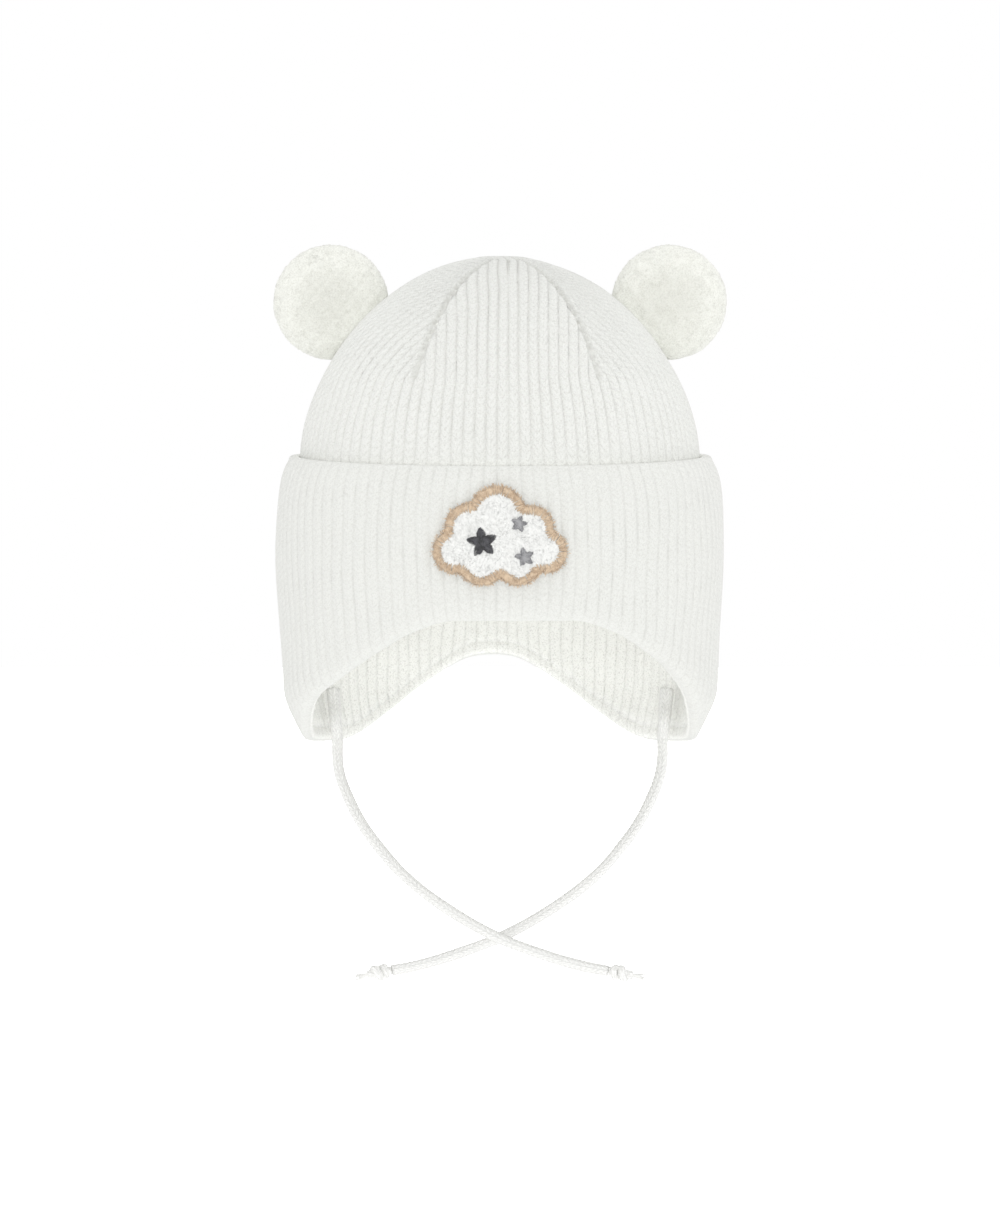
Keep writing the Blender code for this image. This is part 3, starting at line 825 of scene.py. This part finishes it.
def makeBrim():
    full = rimDrop(lowerAzimuth)
    outer = hat["gap"] + hat["brimWall"] * hat["brimOutside"]
    atFlap = smoothStep((full / hat["flapDrop"] - brim["flapFrom"]) / (1 - brim["flapFrom"]))
    lip = brim["lip"] + (brim["flapLip"] - brim["lip"]) * atFlap
    sag = brim["frontSag"] * np.maximum(np.cos(lowerAzimuth), 0.0) ** 1.3
    topLine = brim["topRise"] - sag - brim["topRound"]
    rings = []
    for step in range(4):  # inner wall, against the crown
        t = step / 4
        drop = (full - brim["insideLip"]) * (1 - t)
        rings.append(brimRing(drop, hat["gap"] - brim["hug"] * t, topLine * t, 0.0, stitchRow(drop)))
    thin = outer - brimTaper(0.0)
    middle = (thin + hat["gap"] - brim["hug"]) / 2
    half = (thin - hat["gap"] + brim["hug"]) / 2
    for step in range(11):  # rounded top edge
        angle = math.pi * (1 - step / 10)
        offset = middle + half * math.cos(angle)
        roundness = brim["innerRound"] if offset < middle else 1.0
        lift = topLine + brim["topRound"] * max(math.sin(angle), 0.0) ** roundness
        ribbed = float(smoothStep((offset - hat["gap"]) / (thin * 0.8)))
        along = np.full(columns, stitchRow(-half * 1.2 * angle))
        rings.append(brimRing(np.zeros(columns), offset, lift, ribbed, along))
    for step in range(1, knit["brimRows"]):  # outside
        t = (step / knit["brimRows"]) ** 1.25
        drop = (full - lip) * t
        offset = outer - brimTaper(drop) + brim["bulge"] * math.sin(math.pi * t)
        rings.append(brimRing(drop, offset, topLine * (1 - t), 1.0, stitchRow(drop)))
    outer = outer - brimTaper(full - lip)
    low, mid = brim["lipBelow"], brim["lipMiddle"]
    for step in range(13):  # the turn, outer half
        angle = step / 12 * math.pi / 2
        offset = mid + (outer - mid) * math.cos(angle)
        drop = full - lip + (lip + low) * math.sin(angle)
        kept, below = np.minimum(drop, full), np.minimum(full - drop, 0)
        ribbed = 1 - 0.8 * math.sin(angle) ** 4
        rings.append(brimRing(kept, offset, below, ribbed, stitchRow(drop)))
    for step in range(1, 8):  # the turn, inner half
        share = step / 7
        angle = share * math.pi / 2
        drop = full + low - (low + brim["turnedIn"]) * (1 - math.cos(angle))
        kept, below = np.minimum(drop, full), np.minimum(full - drop, 0)
        outside = brimRing(kept, mid, below, 0.2, stitchRow(drop))
        inner, ribs, _, shade = insideSurface(lowerAzimuth, full, kept)
        ribs = outside[2] * (1 - share) + ribs * share
        radius = outside[0] * (1 - math.sin(angle)) + (inner - brim["proud"]) * math.sin(angle)
        rings.append((radius, outside[1], ribs, stitchRow(drop), shade * share, lowerAzimuth))
    for rise, sunk in brim["edge"]:  # up along the crown's own inner face, and into it
        drop = full - rise
        inner, ribs, along, shade = insideSurface(lowerAzimuth, full, drop)
        rings.append((inner + sunk, brimTop - drop, ribs, along, shade, lowerAzimuth))
    innerFrom = len(rings) - brim["innerRows"]
    made = knitGrid("brimKnit", rings, (), brushedKnit, innerFrom, brim["paintedLitRows"])
    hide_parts("brim")
    print("brim made,", len(made.data.polygons), "faces")


makeCrown()
makeBrim()

# Ears
ears = {
    "diameter": 0.0425,
    "thickness": 0.0180,
    "power": 0.72,
    "seatShare": 0.653,
    "standOff": 0.0120,
    "setBack": 0.0060,
    "start": 1.010,  # size before the stuffing swells it
    "pressure": 160.0,
    "clothMass": 0.0005,  # of each point of the mesh
    "clothStretch": 1.0,
    "clothBend": 0.02,
    "swell": 0.0012,  # furthest that a point may move
    "dish": 0.0024,
    "sunk": -0.0022,
    "lumps": 0.00025,
    "nap": 0.00014,
}


def domeSpace(points):
    # how far inside the dome each point lies, in metres, and the direction out of it
    rise = np.clip((points[:, 2] - brimTop) / hat["domeHeight"], 0.0, 0.9999)
    azimuth = np.arctan2(points[:, 0], -points[:, 1])
    surface = ovalRadius(azimuth) * domeShare(rise)
    radius = np.maximum(np.hypot(points[:, 0], points[:, 1]), 1e-6)
    fall = (domeShare(rise + 0.01) - domeShare(rise - 0.01)) * hat["width"] / 2
    slope = np.hypot(1.0, fall / (0.02 * hat["domeHeight"]))
    return (surface - radius) / slope, radius


def clearOfDome(points, gap):
    for _ in range(4):
        inside, radius = domeSpace(points)
        push = np.maximum(inside + gap, 0.0)
        out = np.stack([points[:, 0] / radius, points[:, 1] / radius, np.full(len(points), 0.75)], axis=1)
        points = points + out / np.linalg.norm(out, axis=1)[:, None] * push[:, None]
    return points


def pile(name, points, normals, length, width, lean, finish, seed):
    # short soft fibres: slim closed cones standing on the cloth
    own = np.random.default_rng(seed)
    count = len(points)
    cloth = normals
    normals = normals + own.normal(0.0, lean, (count, 3))
    normals /= np.linalg.norm(normals, axis=1)[:, None]
    side = np.cross(normals, own.normal(0.0, 1.0, (count, 3)))
    side /= np.linalg.norm(side, axis=1)[:, None]
    other = np.cross(normals, side)
    size = own.uniform(0.65, 1.25, count)[:, None]
    corners = [
        points - normals * length * 0.25 + (side * math.cos(a) + other * math.sin(a)) * width / 2 * size
        for a in (0.0, fullTurn / 3, 2 * fullTurn / 3)
    ]
    tips = points + normals * length * size
    verts = np.stack([*corners, tips], axis=1).reshape(-1, 3)
    base = np.arange(count)[:, None] * 4
    faces = np.concatenate([base + row for row in ((0, 1, 3), (1, 2, 3), (2, 0, 3), (2, 1, 0))])
    piece = makeMesh(name, verts, [faces], finish)
    soft = np.repeat(normals * 0.35 + cloth * 0.65, 4, axis=0)
    piece.data.normals_split_custom_set_from_vertices(soft.tolist())
    return piece


def spreadOver(mesh, count, seed):
    # even random places on a mesh, with their normals
    own = np.random.default_rng(seed)
    mesh.calc_loop_triangles()
    corners = np.empty(len(mesh.loop_triangles) * 3, np.int32)
    mesh.loop_triangles.foreach_get("vertices", corners)
    points = np.empty(len(mesh.vertices) * 3, np.float32)
    mesh.vertices.foreach_get("co", points)
    triangles = points.reshape(-1, 3).astype(float)[corners.reshape(-1, 3)]
    cross = np.cross(triangles[:, 1] - triangles[:, 0], triangles[:, 2] - triangles[:, 0])
    area = np.linalg.norm(cross, axis=1)
    chosen = own.choice(len(area), count, p=area / area.sum())
    first, second = own.random((2, count))
    flip = first + second > 1
    first, second = np.where(flip, 1 - first, first)[:, None], np.where(flip, 1 - second, second)[:, None]
    a, b, c = (triangles[chosen, corner] for corner in range(3))
    return a + (b - a) * first + (c - a) * second, cross[chosen] / area[chosen][:, None]


def meshPoints(mesh):
    points = np.empty(len(mesh.vertices) * 3, np.float32)
    mesh.vertices.foreach_get("co", points)
    return points.reshape(-1, 3).astype(float)


def stuff(piece, centre):
    # the cloth is blown up a little round its stuffing, and held at its seam and its foot
    mesh = piece.data
    before = meshPoints(mesh)
    local = before - centre
    held = piece.vertex_groups.new(name="seam")
    rim = np.hypot(local[:, 0], local[:, 2]) > ears["diameter"] / 2 * ears["start"] * 0.965
    inside, _ = domeSpace(before)
    fixed = np.flatnonzero((rim & (np.abs(local[:, 1]) < 0.0012)) | (inside > -0.0012))
    held.add(fixed.tolist(), 1.0, "REPLACE")
    cloth = piece.modifiers.new("stuffing", "CLOTH")
    cloth.settings.use_pressure = True
    cloth.settings.uniform_pressure_force = ears["pressure"]
    cloth.settings.vertex_group_mass = "seam"
    cloth.settings.effector_weights.gravity = 0.0
    cloth.settings.mass = ears["clothMass"]
    cloth.settings.tension_stiffness = ears["clothStretch"]
    cloth.settings.compression_stiffness = ears["clothStretch"]
    cloth.settings.shear_stiffness = ears["clothStretch"]
    cloth.settings.bending_stiffness = ears["clothBend"]
    cloth.point_cache.frame_start = 1
    cloth.point_cache.frame_end = 20
    for frameNumber in range(1, 21):
        bpy.context.scene.frame_set(frameNumber)
    graph = bpy.context.evaluated_depsgraph_get()
    evaluated = piece.evaluated_get(graph)
    swollen = meshPoints(evaluated.to_mesh())
    evaluated.to_mesh_clear()
    piece.modifiers.remove(cloth)
    bpy.context.scene.frame_set(1)
    moved = swollen - before
    far = np.maximum(np.linalg.norm(moved, axis=1), 1e-9)
    moved *= np.minimum(1.0, ears["swell"] / far)[:, None]
    print("stuffing moved the ear's cloth by up to", round(float(far.max()) * 1000, 2), "mm")
    mesh.vertices.foreach_set("co", (before + moved).reshape(-1).astype(np.float32))
    mesh.update()


def makeEar(side):
    sign = 1 if side == "left" else -1
    seat, beyond = (
        np.array([hat["width"] / 2 * domeShare(share), brimTop + hat["domeHeight"] * share])
        for share in (ears["seatShare"], ears["seatShare"] + 0.01)
    )
    along = (beyond - seat) / np.linalg.norm(beyond - seat)
    out = seat + np.array([along[1], -along[0]]) * ears["standOff"]
    centre = np.array([sign * out[0], ears["setBack"], out[1]])
    shape = bmesh.new()
    bmesh.ops.create_icosphere(shape, subdivisions=5, radius=1.0)
    mesh = bpy.data.meshes.new("ear" + side.capitalize())
    shape.to_mesh(mesh)
    shape.free()
    points = meshPoints(mesh)
    radius = ears["diameter"] / 2 * ears["start"]
    deep = np.sign(points[:, 2]) * np.abs(points[:, 2]) ** ears["power"]
    deep = deep * ears["thickness"] / 2 * ears["start"]
    points = np.stack([points[:, 0] * radius, deep, points[:, 1] * radius], axis=1) + centre
    points = clearOfDome(points, ears["sunk"])
    mesh.vertices.foreach_set("co", points.reshape(-1).astype(np.float32))
    bm = bmesh.new()
    bm.from_mesh(mesh)
    bmesh.ops.recalc_face_normals(bm, faces=bm.faces)
    bm.to_mesh(mesh)
    bm.free()
    mesh.shade_smooth()
    piece = bpy.data.objects.new(mesh.name, mesh)
    bpy.context.scene.collection.objects.link(piece)
    mesh.materials.append(creamPlush)
    stuff(piece, centre)
    fine = bmesh.new()
    fine.from_mesh(mesh)
    bmesh.ops.subdivide_edges(fine, edges=fine.edges, cuts=1, smooth=1.0, use_grid_fill=True)
    fine.normal_update()
    normals = np.array([vertex.normal for vertex in fine.verts])
    fine.to_mesh(mesh)
    fine.free()
    mesh.shade_smooth()
    # a dished middle, the lumps of the stuffing and the short nap of the plush
    points = meshPoints(mesh)
    local = points - centre
    reach = np.hypot(local[:, 0], local[:, 2]) / (ears["diameter"] / 2)
    front = local[:, 1] < 0
    dish = ears["dish"] * smoothStep(1.25 - reach / 0.62) * np.where(front, 1.0, -0.35)
    lumps = ears["lumps"] * ripple(local[:, 0] * 330 + sign, local[:, 2] * 330, 1.0)
    points[:, 1] += dish + np.where(front, -lumps, lumps)
    angle = np.arctan2(local[:, 2], local[:, 0])
    rough = 1 + 0.008 * ripple(angle * 2.0 + sign, angle * 3.0, 2.0)
    points[:, 0] = centre[0] + (points[:, 0] - centre[0]) * rough
    points[:, 2] = centre[2] + (points[:, 2] - centre[2]) * rough
    own = np.random.default_rng(11 + sign)
    points += normals * own.normal(0.0, ears["nap"], len(points))[:, None]
    points = clearOfDome(points, ears["sunk"])
    mesh.vertices.foreach_set("co", points.reshape(-1).astype(np.float32))
    mesh.update()
    # painted shade in the dished middle of the ear's front
    shade = mesh.attributes.new("shade", "FLOAT", "POINT")
    hollowShade = np.where(front, smoothStep(1.35 - reach / 0.60), 0.0)
    shade.data.foreach_set("value", (0.35 * hollowShade).astype(np.float32))
    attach(piece, "root")
    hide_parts("ear_" + side)
    print("ear", side, "made")


for side in ("left", "right"):
    makeEar(side)

# Cloud with its satin-stitched border and stars
cloud = {
    "width": 0.0484,
    "drop": 0.0275,
    "thickness": 0.0016,
    "borderWidth": 0.0033,
    "lift": 0.0005,
    "threadPitch": 0.00036,
    "threadWidth": 0.00046,
    "threadRise": 0.0008,
    "looseThreads": 620,
    "pile": 7000,
}
cloudLobes = (
    (-0.04, 0.38, 0.42), (-0.47, 0.18, 0.35), (0.46, 0.16, 0.34), (-0.66, -0.20, 0.34),
    (0.67, -0.20, 0.33), (-0.27, -0.38, 0.34), (0.27, -0.38, 0.34),
)  # across, up and radius, as shares of half the width
stars = (
    ("starLarge", "star_large", -0.26, -0.06, 0.235, 8),
    ("starUpper", "star_upper", 0.28, 0.22, 0.130, -14),
    ("starLower", "star_lower", 0.36, -0.28, 0.150, 12),
)  # piece, node, across, up, radius and turn in degrees


def onBrim(across, up, lift):
    azimuth = np.asarray(across) / (hat["depth"] / 2 + hat["brimWall"])
    height = brimTop - cloud["drop"] + np.asarray(up)
    drop = brimTop - height
    face = lowerRadius(azimuth, drop) + hat["gap"] * 2 + hat["brimWall"] * hat["brimOutside"]
    radius = face + cloud["lift"] + np.asarray(lift) - brimTaper(drop)
    return place(azimuth, radius, height)


def cloudReach(angle):
    ray = np.stack([np.cos(angle), np.sin(angle)], axis=-1)
    reach = np.zeros(np.shape(angle))
    for across, up, radius in cloudLobes:
        middle = np.array([across, up]) * cloud["width"] / 2
        along = ray @ middle
        within = (radius * cloud["width"] / 2) ** 2 - (middle @ middle - along**2)
        reach = np.maximum(reach, np.where(within >= 0, along + np.sqrt(np.maximum(within, 0)), 0))
    return reach


def stepLengths(line):
    return np.linalg.norm(np.roll(line, -1, 0) - line, axis=1)


def cloudLine(inset, count=720):
    # an even line round the cloud, at a distance in from its edge
    angle = np.arange(2400) * fullTurn / 2400
    line = np.stack([cloudReach(angle) * np.cos(angle), cloudReach(angle) * np.sin(angle)], axis=1)
    for _ in range(40):  # rounds the notches between lobes
        line = (line + np.roll(line, 1, 0) + np.roll(line, -1, 0)) / 3
    ahead = np.roll(line, -1, 0) - np.roll(line, 1, 0)
    inward = np.stack([-ahead[:, 1], ahead[:, 0]], axis=1)
    inward /= np.linalg.norm(inward, axis=1)[:, None]
    for _ in range(60):
        inward = inward + np.roll(inward, 1, 0) + np.roll(inward, -1, 0)
        inward /= np.linalg.norm(inward, axis=1)[:, None]
    # spaced by whichever edge of the border is longer there, so that no stitches fan apart
    inner = line + inward * cloud["borderWidth"]
    steps = np.maximum(stepLengths(line), stepLengths(inner))
    line = line + inward * inset
    closed = np.concatenate([line, line[:1]])
    lengths = np.concatenate([[0], np.cumsum(steps)])
    wanted = np.arange(count) * lengths[-1] / count
    spaced = np.stack([np.interp(wanted, lengths, closed[:, axis]) for axis in range(2)], axis=1)
    facing = np.concatenate([inward, inward[:1]])
    turned = np.stack([np.interp(wanted, lengths, facing[:, axis]) for axis in range(2)], axis=1)
    return spaced, turned / np.linalg.norm(turned, axis=1)[:, None], lengths[-1]


def makeGround():
    count = 360
    edge, _, _ = cloudLine(cloud["borderWidth"] * 0.55, count)
    rings = [(0.08, 0.0), (0.5, 0.0), (1.0, 0.0), (1.0, 0.55)]
    rings += [(math.cos(a) * 0.05 + 0.95, 0.55 + 0.45 * math.sin(a)) for a in (0.4, 0.9, 1.4)]
    rings += [(share, 1.0) for share in np.linspace(0.93, 0.08, 22)]
    own = np.random.default_rng(5)
    points = []
    for share, lift in rings:
        flat = edge * share
        bumps = 0.00012 * ripple(flat[:, 0] * 900, flat[:, 1] * 900, 1.0)
        bumps += own.normal(0, 0.00004, count) * share
        raised = lift * cloud["thickness"] + (bumps if lift > 0.5 else 0)
        points.append(onBrim(flat[:, 0], flat[:, 1], raised))
    hubs = [onBrim(0.0, 0.0, 0.0), onBrim(0.0, 0.0, cloud["thickness"])]
    quads = np.concatenate([ringFaces(i * count, (i + 1) * count, count) for i in range(len(rings) - 1)])
    here = np.arange(count)
    after = (here + 1) % count
    first = len(rings) * count
    last = (len(rings) - 1) * count
    caps = np.concatenate([
        np.stack([after, here, np.full(count, first)], axis=1),
        np.stack([last + here, last + after, np.full(count, first + 1)], axis=1),
    ])
    points = np.concatenate([*points, hubs])
    ground = makeMesh("cloudGround", points, [quads, caps], whitePlush)
    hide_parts("cloud_ground")
    places, normals = spreadOver(ground.data, cloud["pile"], 31)
    keep = normals[:, 1] < -0.6
    pile("cloudPile", places[keep], normals[keep], 0.0006, 0.00030, 0.5, whitePlush, 32)


def stitch(start, end, heights, rise, width, steps=6):
    # one thread laid over the cloth, from one needle hole to the other
    t = np.linspace(0, 1, steps)
    flat = np.asarray(start)[None] * (1 - t)[:, None] + np.asarray(end)[None] * t[:, None]
    lift = heights[0] * (1 - t) + heights[1] * t + rise * np.sin(np.pi * t) ** 0.6
    radii = width / 2 * (0.55 + 0.45 * np.sin(np.pi * t) ** 0.5)
    return onBrim(flat[:, 0], flat[:, 1], lift), radii, 5


def makeBorder():
    own = np.random.default_rng(17)
    width = cloud["borderWidth"]
    _, _, around = cloudLine(0.0)
    count = int(around / cloud["threadPitch"])
    outer, inward, _ = cloudLine(0.0, count)
    strands = []
    for number in range(count):
        ragged = own.uniform(-0.00035, 0.00030, 2)
        lean = inward[number] + own.normal(0, 0.05, 2)
        start = outer[number] + lean * ragged[0]
        end = outer[number] + lean * (width + ragged[1])
        rise = cloud["threadRise"] + own.uniform(-0.00012, 0.00012)
        strands.append(stitch(start, end, (0.0003, cloud["thickness"]), rise, cloud["threadWidth"]))
    for _ in range(cloud["looseThreads"]):  # the fuzzy ends that stick out of the satin stitch
        number = own.integers(count)
        atEdge = own.random() < 0.6
        begin = outer[number] + inward[number] * (0.0003 if atEdge else width - 0.0003)
        away = inward[number] * (-1 if atEdge else 1) + own.normal(0, 0.5, 2)
        finish = begin + away / np.linalg.norm(away) * own.uniform(0.0006, 0.0015)
        strands.append(stitch(begin, finish, (0.0009, 0.0009), 0.0002, 0.00022, 4))
    border = strandBundle("cloudBorder", strands, tanThread)
    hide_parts("cloud_border")


def starReach(angle, radius, turn):
    number = (angle - math.radians(90 + turn)) / fullTurn * 5
    fromTip = abs(number - round(number)) * 2
    return radius * cloud["width"] / 2 * (1 - 0.5 * fromTip)


def makeStar(name, node, across, up, radius, turn, finish):
    # satin stitch: from each edge point to the one across, in rows
    own = np.random.default_rng(int(radius * 1000))
    middle = np.array([across, up]) * cloud["width"] / 2
    slant = math.radians(turn + 35)
    along, over = np.array([math.cos(slant), math.sin(slant)]), np.array([-math.sin(slant), math.cos(slant)])
    size = radius * cloud["width"] / 2
    strands = []
    step = cloud["threadPitch"] * 0.8
    base = cloud["thickness"] - 0.0001
    for row in np.arange(-size, size, step):
        inside = []
        for t in np.arange(-size, size, size / 40):
            spot = along * t + over * row
            if np.hypot(*spot) < starReach(math.atan2(spot[1], spot[0]), radius, turn):
                inside.append(t)
        if not inside:
            continue
        breaks = np.flatnonzero(np.diff(inside) > size / 30) + 1
        for run in np.split(np.array(inside), breaks):
            if len(run) == 0:
                continue
            low, high = run[0] - own.uniform(0, 0.00025), run[-1] + own.uniform(0, 0.00025)
            if high - low < 0.0004:
                continue
            start, end = middle + over * row + along * low, middle + over * row + along * high
            strands.append(stitch(start, end, (base, base), 0.00065, cloud["threadWidth"] * 0.85))
    star = strandBundle(name, strands, finish)
    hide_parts(node)


makeGround()
makeBorder()
for name, node, across, up, radius, turn in stars:
    dark = name == "starLarge"
    makeStar(name, node, across, up, radius, turn, charcoalThread if dark else greyThread)
print("cloud and stars made")

# Light and floor
lighting = {
    "backdrop": 1.0,
    "room": 0.68,
    "floorGlow": 0.64,
    "floorBounce": 0.5,
    "paperGlow": 0.7,  # what the camera sees beyond the floor's own glow
    "floorSide": 2.9,
    "floorFront": 3.0,
    "floorLevel": -0.30,
    "lamps": (
        ("lensLevel", 20.0, (0.0, -3.3, -0.12), 0.3),
        ("frontTop", 9.0, (-0.4, -1.5, 2.4), 2.0),
        ("overhead", 17.5, (0.0, -0.2, 2.6), 2.0),
        ("viewersLeft", 8.0, (-3.0, 0.4, 0.3), 2.0),
        ("viewersRight", 16.0, (3.0, 0.4, 0.3), 2.0),
        ("back", 4.0, (0.0, 3.0, 0.5), 2.4),
    ),  # name, watts, place and size
}


def makeLights():
    world = bpy.data.worlds.new("softRoom")
    world.use_nodes = True
    tree = world.node_tree
    room = tree.nodes["Background"]
    room.inputs["Color"].default_value = (1.0, 1.0, 1.0, 1.0)
    room.inputs["Strength"].default_value = lighting["room"]
    backdrop = addNode(tree, "ShaderNodeBackground", ((1.0, 1.0, 1.0, 1.0), lighting["backdrop"]))
    seen = addNode(tree, "ShaderNodeLightPath").outputs["Is Camera Ray"]
    mixed = addNode(tree, "ShaderNodeMixShader", (seen, room.outputs[0], backdrop.outputs[0]))
    tree.links.new(mixed.outputs[0], tree.nodes["World Output"].inputs["Surface"])
    bpy.context.scene.world = world
    for name, power, spot, size in lighting["lamps"]:
        data = bpy.data.lights.new(name, "AREA")
        data.energy = power
        data.size = size
        lamp = bpy.data.objects.new(name, data)
        lamp.location = spot
        lamp.rotation_euler = (Vector(cameraSetup["aim"]) - Vector(spot)).to_track_quat("-Z", "Y").to_euler()
        lamp.visible_camera = False
        bpy.context.scene.collection.objects.link(lamp)


def makeFloor():
    # seen as white paper, but it throws less light back up
    made, tree, shader = newMaterial("paleFloor", 0.9, 0.0)
    paper = mixColour(tree, noise(tree, 6.0), (0.96, 0.96, 0.96), (0.98, 0.98, 0.98))
    seen = addNode(tree, "ShaderNodeLightPath").outputs["Is Camera Ray"]
    bounce = (lighting["floorBounce"],) * 3
    tree.links.new(mixColour(tree, seen, bounce, paper), shader.inputs["Base Color"])
    shader.inputs["Emission Color"].default_value = (1.0, 1.0, 1.0, 1.0)
    glow = plus(tree, lighting["floorGlow"], times(tree, seen, lighting["paperGlow"]))
    tree.links.new(glow, shader.inputs["Emission Strength"])
    side, front, level = lighting["floorSide"], lighting["floorFront"], lighting["floorLevel"]
    corners = [(-side, -front, level), (side, -front, level), (side, side, level), (-side, side, level)]
    mesh = bpy.data.meshes.new("floor")
    mesh.from_pydata(corners, [], [(0, 1, 2, 3)])
    mesh.materials.append(made)
    floor = bpy.data.objects.new("floor", mesh)
    bpy.context.scene.collection.objects.link(floor)


makeLights()
makeFloor()
bpy.context.scene.view_settings.view_transform = "Standard"
bpy.context.view_layer.update()
